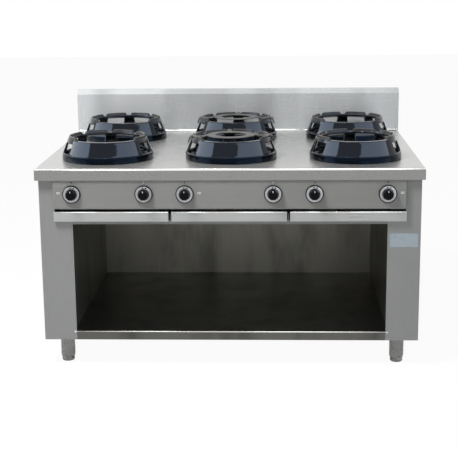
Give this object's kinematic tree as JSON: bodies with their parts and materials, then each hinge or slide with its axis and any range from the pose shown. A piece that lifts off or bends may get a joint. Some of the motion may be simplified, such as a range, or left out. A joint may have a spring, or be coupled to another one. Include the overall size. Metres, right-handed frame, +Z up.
{
  "type": "wok range",
  "caption": "Free-standing gas wok range: stainless cabinet with an open shelf space, drip trays, press-and-turn knobs and loose cast wok rings over open burners.",
  "frame": {"origin": "on the floor, under the middle of the range", "axes": "+X to the right seen from the front, +Y to the back, +Z up; the knobs are on the -Y side"},
  "size_m": [1.5, 1.1316, 0.995],
  "materials": {
    "worktop_steel": "satin, fine grain left to right",
    "cabinet_steel": "satin, fine grain",
    "inner_steel": "plain mill finish",
    "tray_steel": "satin",
    "tube_steel": "satin tube",
    "foot_steel": "turned",
    "plate_aluminium": "matt, blank",
    "screw_steel": "plain",
    "ring_enamel": "gloss dark blue-black enamel",
    "support_iron": "matt, as cast",
    "burner_iron": "matt",
    "cap_brass": "machined, dull",
    "bowl_steel": "satin",
    "gas_brass": "machined",
    "pipe_steel": "plain grey",
    "feed_aluminium": "plain tube",
    "knob_plastic": "black, semi-gloss",
    "bezel_plastic": "black, smooth",
    "stem_brass": "turned"
  },
  "bodies": {
    "range": {"worktop": "worktop_steel", "backsplash": "worktop_steel", "left_side_panel": "cabinet_steel", "right_side_panel": "cabinet_steel", "left_inner_panel": "inner_steel", "right_inner_panel": "inner_steel", "rear_panel": "inner_steel", "cabinet_back_panel": "inner_steel", "base_shelf": "cabinet_steel", "control_panel": "cabinet_steel", "lower_rail": "cabinet_steel", "tray_runners": "inner_steel", "front_burner_rail": "inner_steel", "rear_burner_rail": "inner_steel", "rating_plate": "plate_aluminium", "case_screws": "screw_steel", "legs": "tube_steel", "burner_caps": "cap_brass", "burner_bowls": "bowl_steel", "injectors": "gas_brass", "gas_pipes": "feed_aluminium", "pilot_burners": "gas_brass", "thermocouples": "gas_brass", "gas_manifold": "pipe_steel", "gas_inlet": "gas_brass", "gas_taps": "gas_brass", "knob_bezels": "bezel_plastic", "burner_front_left": "burner_iron", "burner_rear_left": "burner_iron", "burner_front_centre": "burner_iron", "burner_rear_centre": "burner_iron", "burner_front_right": "burner_iron", "burner_rear_right": "burner_iron"},
    "tap_stem_front_left": {"tap_stem_front_left": "stem_brass"},
    "knob_front_left": {"knob_front_left": "knob_plastic"},
    "tap_stem_rear_left": {"tap_stem_rear_left": "stem_brass"},
    "knob_rear_left": {"knob_rear_left": "knob_plastic"},
    "tap_stem_front_centre": {"tap_stem_front_centre": "stem_brass"},
    "knob_front_centre": {"knob_front_centre": "knob_plastic"},
    "tap_stem_rear_centre": {"tap_stem_rear_centre": "stem_brass"},
    "knob_rear_centre": {"knob_rear_centre": "knob_plastic"},
    "tap_stem_front_right": {"tap_stem_front_right": "stem_brass"},
    "knob_front_right": {"knob_front_right": "knob_plastic"},
    "tap_stem_rear_right": {"tap_stem_rear_right": "stem_brass"},
    "knob_rear_right": {"knob_rear_right": "knob_plastic"},
    "drip_tray_left": {"drip_tray_left": "tray_steel"},
    "drip_tray_centre": {"drip_tray_centre": "tray_steel"},
    "drip_tray_right": {"drip_tray_right": "tray_steel"},
    "foot_front_left": {"foot_front_left": "foot_steel"},
    "foot_front_right": {"foot_front_right": "foot_steel"},
    "foot_rear_left": {"foot_rear_left": "foot_steel"},
    "foot_rear_right": {"foot_rear_right": "foot_steel"},
    "wok_ring_front_left": {"wok_ring_front_left": "ring_enamel"},
    "wok_ring_rear_left": {"wok_ring_rear_left": "ring_enamel"},
    "wok_ring_front_centre": {"wok_ring_front_centre": "ring_enamel"},
    "wok_ring_rear_centre": {"wok_ring_rear_centre": "ring_enamel"},
    "wok_ring_front_right": {"wok_ring_front_right": "ring_enamel"},
    "wok_ring_rear_right": {"wok_ring_rear_right": "ring_enamel"},
    "pot_support_front_centre": {"pot_support_front_centre": "support_iron"},
    "pot_support_rear_centre": {"pot_support_rear_centre": "support_iron"}
  },
  "joints": [
    {"name": "front_left_knob_press", "type": "slide", "parent": "range", "child": "tap_stem_front_left", "axis": [0, 1, 0], "range_m": [0, 0.004], "stiffness_N_per_m": 2500},
    {"name": "front_left_knob_turn", "type": "hinge", "parent": "tap_stem_front_left", "child": "knob_front_left", "pos_m": [-0.608, -0.52925, 0.7005], "axis": [0, -1, 0], "range_deg": [0, 180]},
    {"name": "rear_left_knob_press", "type": "slide", "parent": "range", "child": "tap_stem_rear_left", "axis": [0, 1, 0], "range_m": [0, 0.004], "stiffness_N_per_m": 2500},
    {"name": "rear_left_knob_turn", "type": "hinge", "parent": "tap_stem_rear_left", "child": "knob_rear_left", "pos_m": [-0.3285, -0.52925, 0.7005], "axis": [0, -1, 0], "range_deg": [0, 180]},
    {"name": "front_centre_knob_press", "type": "slide", "parent": "range", "child": "tap_stem_front_centre", "axis": [0, 1, 0], "range_m": [0, 0.004], "stiffness_N_per_m": 2500},
    {"name": "front_centre_knob_turn", "type": "hinge", "parent": "tap_stem_front_centre", "child": "knob_front_centre", "pos_m": [-0.17, -0.52925, 0.7005], "axis": [0, -1, 0], "range_deg": [0, 180]},
    {"name": "rear_centre_knob_press", "type": "slide", "parent": "range", "child": "tap_stem_rear_centre", "axis": [0, 1, 0], "range_m": [0, 0.004], "stiffness_N_per_m": 2500},
    {"name": "rear_centre_knob_turn", "type": "hinge", "parent": "tap_stem_rear_centre", "child": "knob_rear_centre", "pos_m": [0.17, -0.52925, 0.7005], "axis": [0, -1, 0], "range_deg": [0, 180]},
    {"name": "front_right_knob_press", "type": "slide", "parent": "range", "child": "tap_stem_front_right", "axis": [0, 1, 0], "range_m": [0, 0.004], "stiffness_N_per_m": 2500},
    {"name": "front_right_knob_turn", "type": "hinge", "parent": "tap_stem_front_right", "child": "knob_front_right", "pos_m": [0.3285, -0.52925, 0.7005], "axis": [0, -1, 0], "range_deg": [0, 180]},
    {"name": "rear_right_knob_press", "type": "slide", "parent": "range", "child": "tap_stem_rear_right", "axis": [0, 1, 0], "range_m": [0, 0.004], "stiffness_N_per_m": 2500},
    {"name": "rear_right_knob_turn", "type": "hinge", "parent": "tap_stem_rear_right", "child": "knob_rear_right", "pos_m": [0.608, -0.52925, 0.7005], "axis": [0, -1, 0], "range_deg": [0, 180]},
    {"name": "drip_tray_left_slide", "type": "slide", "parent": "range", "child": "drip_tray_left", "axis": [0, -1, 0], "range_m": [0, 0.5]},
    {"name": "drip_tray_centre_slide", "type": "slide", "parent": "range", "child": "drip_tray_centre", "axis": [0, -1, 0], "range_m": [0, 0.5]},
    {"name": "drip_tray_right_slide", "type": "slide", "parent": "range", "child": "drip_tray_right", "axis": [0, -1, 0], "range_m": [0, 0.5]},
    {"name": "foot_front_left_adjust", "type": "slide", "parent": "range", "child": "foot_front_left", "axis": [0, 0, -1], "range_m": [0, 0.05]},
    {"name": "foot_front_right_adjust", "type": "slide", "parent": "range", "child": "foot_front_right", "axis": [0, 0, -1], "range_m": [0, 0.05]},
    {"name": "foot_rear_left_adjust", "type": "slide", "parent": "range", "child": "foot_rear_left", "axis": [0, 0, -1], "range_m": [0, 0.05]},
    {"name": "foot_rear_right_adjust", "type": "slide", "parent": "range", "child": "foot_rear_right", "axis": [0, 0, -1], "range_m": [0, 0.05]},
    {"name": "front_left_ring_lift", "type": "slide", "parent": "range", "child": "wok_ring_front_left", "axis": [0, 0, 1], "range_m": [0, 0.12]},
    {"name": "rear_left_ring_lift", "type": "slide", "parent": "range", "child": "wok_ring_rear_left", "axis": [0, 0, 1], "range_m": [0, 0.12]},
    {"name": "front_centre_ring_lift", "type": "slide", "parent": "range", "child": "wok_ring_front_centre", "axis": [0, 0, 1], "range_m": [0, 0.12]},
    {"name": "rear_centre_ring_lift", "type": "slide", "parent": "range", "child": "wok_ring_rear_centre", "axis": [0, 0, 1], "range_m": [0, 0.12]},
    {"name": "front_right_ring_lift", "type": "slide", "parent": "range", "child": "wok_ring_front_right", "axis": [0, 0, 1], "range_m": [0, 0.12]},
    {"name": "rear_right_ring_lift", "type": "slide", "parent": "range", "child": "wok_ring_rear_right", "axis": [0, 0, 1], "range_m": [0, 0.12]},
    {"name": "front_centre_support_lift", "type": "slide", "parent": "wok_ring_front_centre", "child": "pot_support_front_centre", "axis": [0, 0, 1], "range_m": [0, 0.08]},
    {"name": "rear_centre_support_lift", "type": "slide", "parent": "wok_ring_rear_centre", "child": "pot_support_rear_centre", "axis": [0, 0, 1], "range_m": [0, 0.08]}
  ]
}
